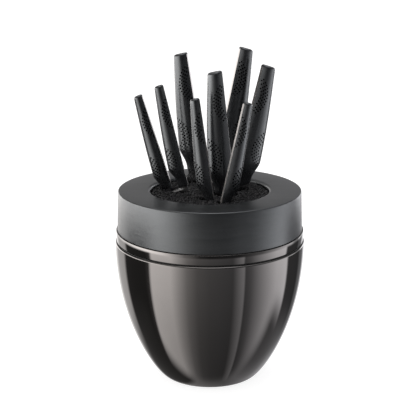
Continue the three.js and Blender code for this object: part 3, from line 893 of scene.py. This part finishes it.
def cap_bmesh(handle):
    """The closing plate in the butt, softly rounded and barely domed."""
    skin = HandleSkin(handle)
    closed = round_places(skin)[:-1]
    high = handle["length"] - BUTT_ROUND
    bm = bmesh.new()
    inset = CAP_INSET + CAP_GAP
    levels = [(inset + 0.3, -CAP_THICKNESS), (inset, 0.3 - CAP_THICKNESS), (inset, -0.45),
              (inset + 0.1, -0.25), (inset + 0.4, -0.14), (inset + 1.2, -0.08)]
    loops = [new_loop(bm, [skin.point(a, high, i, BUTT_ROUND + z) for a in closed]) for i, z in levels]
    bridge_all(bm, loops)
    cap_faces(bm, loops[-1])
    cap_faces(bm, loops[0])
    return bm


BLADE_STEP = 0.75
SCALLOP_PITCH = 6.0
SCALLOP_FADE = 12
EDGE_HALF = 0.05
NECK_RINGS = 8


def mirrored(side, z, slope):
    """A closed section from the outline of its one side."""
    outline = side + [(x, -y) for x, y in reversed(side)]
    return [(x, y, z + slope * x) for x, y in outline]


def blade_ring(spine, edge, z, slope, thickness, scallop=0.0):
    """A section with eased spine corners, a long ground wedge and a short sharpened bevel."""
    half = thickness / 2
    ease = min(0.25, half * 0.4)
    wide = edge - spine
    grind, hone = spine + wide * 0.78, edge - min(1.1, wide * 0.3)
    side = [(spine, half - ease), (spine + ease, half), (spine + wide * 0.3, half),
            (grind, half * 0.5), (hone - scallop, 0.16), (edge - scallop, EDGE_HALF)]
    return mirrored(side, z, slope)


def tang_ring(handle, z, slope, inset=0.0):
    """A section of the tang, with as many corners as the blade's."""
    start, end = tang_span(handle)
    low, high, thick = start + inset, end - inset, TANG_THICKNESS / 2 - inset
    wide = high - low
    side = [(low, thick - TANG_EASE), (low + TANG_EASE, thick), (low + wide * 0.3, thick),
            (low + wide * 0.6, thick), (high - TANG_EASE, thick), (high, thick - TANG_EASE)]
    return mirrored(side, z, slope)


def edge_place(blade, share):
    """How far the edge is from the spine's line, at a share of the blade's length."""
    _, width, _, power, drop, _ = blade
    return BLADE_INSET + drop + TIP_WIDTH + (width - drop - TIP_WIDTH) * (1 - share ** power)


def neck_rings(handle, blade):
    """Sections of the tang and the neck, down to where the blade has its own outline."""
    _, width, thickness, *_ = blade
    neck_edge = handle["neck_width"] - BLADE_INSET
    heel = max(width * HEEL_SHARE, neck_edge)
    slope = handle["neck_slope"]
    shoulder = -FIT_GAP
    rings = [tang_ring(handle, TANG_LENGTH - 2, 0, 0.4), tang_ring(handle, TANG_LENGTH - 2.4, 0),
             tang_ring(handle, 12, 0), tang_ring(handle, shoulder, slope),
             blade_ring(BLADE_INSET, neck_edge, shoulder, slope, thickness)]
    for i in range(1, NECK_RINGS + 1):
        share = i / NECK_RINGS
        edge = neck_edge + (heel - neck_edge) * smooth(max(0, (share - 0.35) / 0.65))
        depth = shoulder + (-2 * HEEL_RISE - shoulder) * share
        rings.append(blade_ring(BLADE_INSET, edge, depth, slope * (1 - share) ** 1.3, thickness))
    return rings


def blade_rings(blade):
    """Sections of the blade from below the heel to the tip."""
    length, _, thickness, _, drop, scallop = blade
    first = 3 * HEEL_RISE / length
    steps = int((length - 3 * HEEL_RISE) / BLADE_STEP)
    rings = []
    for i in range(steps + 1):
        share = first + (1 - first) * i / steps
        spine = BLADE_INSET + drop * share ** 3
        fade = min(1, max(0, (1 - share) * SCALLOP_FADE), max(0, (share - first) * SCALLOP_FADE))
        wave = scallop * fade * abs(math.sin(math.pi * share * length / SCALLOP_PITCH))
        rings.append(blade_ring(spine, edge_place(blade, share), -length * share, 0,
                                thickness * (1 - 0.5 * share), wave))
    return rings


def blade_bmesh(name):
    """A tang that widens into the blade at the neck, and the blade down to its tip."""
    handle, *_, blade = KNIVES[name]
    bm = bmesh.new()
    loops = [new_loop(bm, ring) for ring in neck_rings(handle, blade) + blade_rings(blade)]
    bridge_all(bm, loops)
    bm.faces.new(loops[0])
    bm.faces.new(loops[-1])
    return bm


def make_knives():
    handles = {"large": handle_bmesh(LARGE), "small": handle_bmesh(SMALL)}
    for name, (handle, *_) in KNIVES.items():
        matrix = knife_matrix(name)
        grip = handles["large" if handle is LARGE else "small"].copy()
        pieces = (("handle", grip, COATED, "black_coated_steel", 30),
                  ("end_cap", cap_bmesh(handle), COATED, "black_coated_steel", 38),
                  ("blade", blade_bmesh(name), BLADE, "polished_blade_steel", 22))
        for part, bm, material, slot, sharp in pieces:
            bm.transform(matrix)
            node = f"{name}_{part}"
            piece = finish_mesh(f"{node}_look", bm, material, f"{name}_knife", (node,), slot, sharp)
            if part == "handle":
                # Second material: the painted shade in the dimples.
                piece.data.materials.append(PIT_SHADE)
                # Third material: the painted highlight on the flat.
                piece.data.materials.append(FACET_HIGHLIGHT)
    for bm in handles.values():
        bm.free()


# ---- bristles --------------------------------------------------------------
ROD_RADIUS = 1.02
ROD_PITCH = 2.28
ROD_SIDES = 7
ROD_CLEAR = 0.45
ROD_CLEAR_DEPTHS = (-2.0, 0.0, 3.0, 7.0, 12.0)    # below the tips, where a rod's place is tested
NECK_MARGIN = 1.5
SUNK_RISE = 3.0            # a knife that rises less has its neck among the tips
ROD_JITTER = 0.16
ROD_DROP = 2.6
ROD_SLANT = 0.45
ROD_TIP_HEIGHT = 4.0
ROD_EASE = 0.3
ROD_CUT_SHARE = 0.72
ROD_CUP_GAP = 0.25
ROD_FOOT_GAP = 0.2
ROD_LIFT = 0.05
FLEX_REACH = 7.0
ROD_SEED = 11


def knife_traces():
    """For each knife, its inverse frame, how far its plane moves for each millimetre down, and its size."""
    traces = []
    for name, (handle, _, _, _, _, rise, blade) in KNIVES.items():
        matrix = knife_matrix(name)
        normal = matrix.col[1].xyz
        level = Vector((normal.x, normal.y))
        traces.append((matrix.inverted(), level * (normal.z / level.length_squared), handle, rise, blade))
    return traces


def clear_of_knives(traces, x, y):
    """Whether the top of a rod is clear of every blade and neck. Further down rods cross the blades."""
    margin = ROD_RADIUS + ROD_CLEAR
    for inverse, _, handle, rise, blade in traces:
        for depth in ROD_CLEAR_DEPTHS:
            here = inverse @ Vector((x, y, tip_z - depth))
            if here.z <= section_slope(handle, 0) * here.x - NECK_MARGIN:
                wide = edge_place(blade, min(max(-here.z / blade[0], 0), 1))
                half = blade[2] / 2
            elif rise < SUNK_RISE:
                wide, half = handle_size(handle, max(here.z, 0))
            else:
                continue
            if -margin < here.x < wide + margin and abs(here.y) < half + margin:
                return False
    return True


def rod_shift(traces, x, y, depth):
    """How far a rod's foot moves sideways, so that rods beside a blade lean about as it does."""
    total, weight = Vector((0.0, 0.0)), 0.0
    for inverse, flow, handle, _, blade in traces:
        here = inverse @ Vector((x, y, tip_z))
        past = max(0.0, -here.x, here.x - blade[1])
        near = math.exp(-(here.y * here.y + past * past) / FLEX_REACH ** 2)
        total += flow * (near * depth)
        weight += near
    return total / max(weight, 1.0)


def add_rod(bm, x, y, top, foot, bottom, spin, slant):
    """One rod as a closed prism with an eased, slightly slanted tip."""
    inward = min(1.0, (pack_radius - ROD_RADIUS) / math.hypot(x, y)) if x or y else 1.0
    levels = ((foot[0], foot[1], bottom, ROD_RADIUS, 0.0),
              (x * inward, y * inward, tip_z - ROD_TIP_HEIGHT, ROD_RADIUS, 0.0),
              (x, y, top - ROD_EASE, ROD_RADIUS, slant),
              (x, y, top, ROD_RADIUS * ROD_CUT_SHARE, slant))
    loops = []
    for cx, cy, z, radius, tilt in levels:
        angles = [spin + 2 * math.pi * k / ROD_SIDES for k in range(ROD_SIDES)]
        loops.append(new_loop(bm, [
            (cx + radius * math.cos(a), cy + radius * math.sin(a), z + tilt * math.cos(a)) for a in angles]))
    bridge_all(bm, loops)
    bm.faces.new(loops[-1])
    bm.faces.new(list(reversed(loops[0])))


def make_bristles():
    draw = random.Random(ROD_SEED)
    traces = knife_traces()
    bm = bmesh.new()
    depth = tip_z - plate_top
    reach = cup_radius - ROD_CUP_GAP - ROD_RADIUS
    foot_reach = plate_radius - ROD_RADIUS - ROD_FOOT_GAP
    rows = int(reach / (ROD_PITCH * math.sqrt(3) / 2)) + 1
    columns = int(reach / ROD_PITCH) + 1
    for row in range(-rows, rows + 1):
        for column in range(-columns, columns + 1):
            x = (column + (row % 2) / 2) * ROD_PITCH + draw.uniform(-ROD_JITTER, ROD_JITTER)
            y = row * ROD_PITCH * math.sqrt(3) / 2 + draw.uniform(-ROD_JITTER, ROD_JITTER)
            drop, spin, slant = draw.uniform(0, ROD_DROP), draw.uniform(0, 1), draw.uniform(0, ROD_SLANT)
            if math.hypot(x, y) > reach or not clear_of_knives(traces, x, y):
                continue
            foot = (Vector((x, y)) + rod_shift(traces, x, y, depth)) * (foot_reach / reach)
            if foot.length > foot_reach:
                foot = foot.normalized() * foot_reach
            add_rod(bm, x, y, tip_z - drop, foot, plate_top + ROD_LIFT, spin, slant)
    finish_mesh("bristle_pack_look", bm, RODS, "insert", ("bristle_pack",), "bristle_rods", 50, weld=1e-5)


make_vessel()
make_top_ring()
make_insert()
make_knives()
make_bristles()


# ---- camera, floor and light -----------------------------------------------
CAMERA_PLACE = (0.0003, -1.1583, 0.5137)
CAMERA_TILT = 15.406
CAMERA_LENS = 90.15
SENSOR_WIDTH = 36
BACKDROP_RADIUS = 9.0
BACKDROP_GLOW = 1.1
FLOOR_RADIUS = 8.0
FLOOR_DROP = 0.0002
FLOOR_GLOW = 0.86
FLOOR_GREY = 0.5

camera_data = bpy.data.cameras.new("camera")
camera_data.lens = CAMERA_LENS
camera_data.sensor_width = SENSOR_WIDTH
camera = bpy.data.objects.new("camera", camera_data)
camera.location = CAMERA_PLACE
camera.rotation_euler = (math.radians(90 - CAMERA_TILT), 0, 0)
bpy.context.scene.collection.objects.link(camera)
bpy.context.scene.camera = camera
bpy.context.scene.view_settings.view_transform = "Standard"


def glow_material(name, strength, diffuse):
    """A pale matt surface with light of its own, so that it stays near white."""
    material = bpy.data.materials.new(name)
    material.use_nodes = True
    shader = material.node_tree.nodes["Principled BSDF"]
    shader.inputs["Base Color"].default_value = (diffuse, diffuse, diffuse, 1)
    shader.inputs["Roughness"].default_value = 0.9
    shader.inputs["Specular IOR Level"].default_value = 0.0
    shader.inputs["Emission Color"].default_value = (1, 1, 1, 1)
    shader.inputs["Emission Strength"].default_value = strength
    return material


def staged(name, bm, material):
    """A mesh in metres that the camera sees, but that doesn't show in the polished steel."""
    mesh = bpy.data.meshes.new(name)
    bm.to_mesh(mesh)
    bm.free()
    mesh.materials.append(material)
    piece = bpy.data.objects.new(name, mesh)
    bpy.context.scene.collection.objects.link(piece)
    piece.visible_glossy = False
    piece.visible_diffuse = False
    piece.visible_transmission = False
    return piece


def make_stage():
    bm = bmesh.new()
    bmesh.ops.create_uvsphere(bm, u_segments=64, v_segments=32, radius=BACKDROP_RADIUS)
    backdrop = staged("backdrop", bm, glow_material("backdrop_white", BACKDROP_GLOW, 0.0))
    backdrop.visible_shadow = False
    bm = bmesh.new()
    bmesh.ops.create_circle(bm, cap_ends=True, segments=128, radius=FLOOR_RADIUS)
    floor = staged("floor", bm, glow_material("floor_pale", FLOOR_GLOW, FLOOR_GREY))
    floor.location.z = -FLOOR_DROP


# Studio panels round the object, as azimuth in degrees (0 is towards the
# camera, 90 to the right) and brightness. Two near stops make a panel's edge.
# The low ones are what the polished vessel shows, the side ones what the
# handles and the wooden ring show.
LOW_PANELS = (
    (-180, 0.5), (-155, 0.5), (-146, 0.35), (-127, 0.5), (-121, 0.03),
    (-84, 0.03), (-77.5, 0.08), (-75.5, 1.1), (-48, 0.98), (-38, 0.62), (-27, 0.3), (-15, 0.16), (0, 0.12),
    (28, 0.09), (38, 0.3), (41.5, 0.36), (43, 0.09), (51, 0.15), (69, 0.5), (88, 0.9), (105.5, 1.0),
    (108.5, 0.06), (135, 0.03), (141, 0.1), (150, 0.1), (158, 0.45), (180, 0.5),
)
SIDE_PANELS = (
    (-180, 0.8), (-168, 1.0), (-154, 3.0), (-120, 3.9), (-100, 5.2), (-80, 5.4), (-60, 4.2), (-44, 2.2),
    (-30, 0.7), (-12, 0.12), (0, 0.06), (35, 0.08), (50, 0.22), (66, 0.45), (80, 1.1), (100, 2.1),
    (116, 2.4), (125, 0.9), (135, 1.0), (139, 3.2), (153, 3.2), (157, 1.0), (180, 0.8),
)
# What the underside shows of the room behind the object, from left (-1) to right (1).
UNDER_PANELS = (
    (-1.0, 0.05), (-0.6, 0.05), (-0.27, 0.07), (-0.18, 0.36), (-0.1, 0.34), (0.0, 0.28), (0.18, 0.22),
    (0.34, 0.3), (0.55, 0.16), (1.0, 0.05),
)
PANEL_POWER = 3.0
PANEL_SPREAD = 0.62
# Directions are parts of a unit vector: height is -1 straight down and 1 straight
# up, and depth is 1 straight away from the camera. A band is where one light goes over into the next.
UNDER_TO_LOW = (-0.65, -0.45)
LOW_TO_SIDE = (-0.27, -0.2)
SIDE_TO_CEILING = (0.1, 0.3)
FRONT_TO_BACK = (-0.08, 0.2)
# Where a light starts and ends, and its brightness at those two places.
LOW_FADE = (-0.97, -0.15, 0.46, 1.0)
BACK_GLOW = (-0.3, 0.75, 0.1, 0.22)
CEILING = (0.45, 0.9, 0.0, 0.8)
CEILING_LAMP = (0.93, 0.97, 0.0, 2.0)
TINT_BAND = (-0.5, 0.5)
LEFT_TINT = (1.0, 0.975, 0.96, 1)
RIGHT_TINT = (0.975, 0.97, 1.0, 1)
LIGHT_MAP_SIZE = 1024


def glide_of(owner, value, start, end, low, high, kind="SMOOTHSTEP"):
    """A number that goes from low to high while value goes from start to end."""
    ends = {"From Min": start, "From Max": end, "To Min": low, "To Max": high}
    glide = add_node(owner, "ShaderNodeMapRange", interpolation_type=kind, **ends)
    link(owner, value, glide.inputs["Value"])
    return glide.outputs["Result"]


def blend_of(owner, one, other, share):
    """one where share is 0, other where it is 1."""
    keep = math_of(owner, "MULTIPLY", one, math_of(owner, "SUBTRACT", 1.0, share))
    return math_of(owner, "ADD", keep, math_of(owner, "MULTIPLY", other, share))


def ramp_place(degrees):
    """Where an azimuth falls on the ramp, after the turn is skewed towards the camera."""
    if abs(degrees) == 180:
        return float(degrees > 0)
    angle, reach = math.radians(degrees), math.cos(math.radians(CAMERA_TILT))
    return math.atan2(reach * math.sin(angle), reach * math.cos(angle) + PANEL_SPREAD) / (2 * math.pi) + 0.5


def panel_light(world, x, depth, height):
    """The light of all panels, round the object and under it."""
    toward = math_of(world, "MULTIPLY", depth, -1.0)
    azimuth = math_of(world, "ARCTAN2", x, math_of(world, "ADD", toward, PANEL_SPREAD))
    turn = math_of(world, "MULTIPLY_ADD", azimuth, 1 / (2 * math.pi), 0.5)
    low, side = (ramp_of(world, turn, [(ramp_place(degrees), level) for degrees, level in panels])
                 for panels in (LOW_PANELS, SIDE_PANELS))
    across = math_of(world, "MULTIPLY_ADD", x, 0.5, 0.5)
    under = ramp_of(world, across, [((place + 1) / 2, level) for place, level in UNDER_PANELS])
    beneath = glide_of(world, height, *UNDER_TO_LOW, 1.0, 0.0)
    to_under = math_of(world, "MULTIPLY", beneath, glide_of(world, depth, *FRONT_TO_BACK, 0.0, 1.0))
    fade = math_of(world, "MULTIPLY", glide_of(world, height, *LOW_FADE, "LINEAR"), PANEL_POWER)
    low_light = math_of(world, "MULTIPLY", blend_of(world, low, under, to_under), fade)
    return blend_of(world, low_light, side, glide_of(world, height, *LOW_TO_SIDE, 0.0, 1.0))


def make_world():
    world = bpy.data.worlds.new("studio")
    bpy.context.scene.world = world
    world.use_nodes = True
    world.node_tree.nodes.clear()
    where = add_node(world, "ShaderNodeTexCoord")
    split = add_node(world, "ShaderNodeSeparateXYZ")
    link(world, where.outputs["Generated"], split.inputs["Vector"])
    x, depth, height = (split.outputs[axis] for axis in "XYZ")
    around = panel_light(world, x, depth, height)
    lamp = glide_of(world, height, *CEILING_LAMP)
    overhead = math_of(world, "ADD", glide_of(world, height, *CEILING), lamp)
    above = math_of(world, "ADD", glide_of(world, depth, *BACK_GLOW), overhead)
    tint = add_node(world, "ShaderNodeMix", data_type="RGBA")
    tint.inputs[6].default_value = LEFT_TINT
    tint.inputs[7].default_value = RIGHT_TINT
    link(world, glide_of(world, x, *TINT_BAND, 0.0, 1.0), tint.inputs[0])
    light = add_node(world, "ShaderNodeBackground")
    link(world, tint.outputs[2], light.inputs["Color"])
    total = blend_of(world, around, above, glide_of(world, height, *SIDE_TO_CEILING, 0.0, 1.0))
    link(world, total, light.inputs["Strength"])
    out = add_node(world, "ShaderNodeOutputWorld")
    link(world, light.outputs["Background"], out.inputs["Surface"])
    world.cycles.sampling_method = "MANUAL"
    world.cycles.sample_map_resolution = LIGHT_MAP_SIZE


make_stage()
make_world()
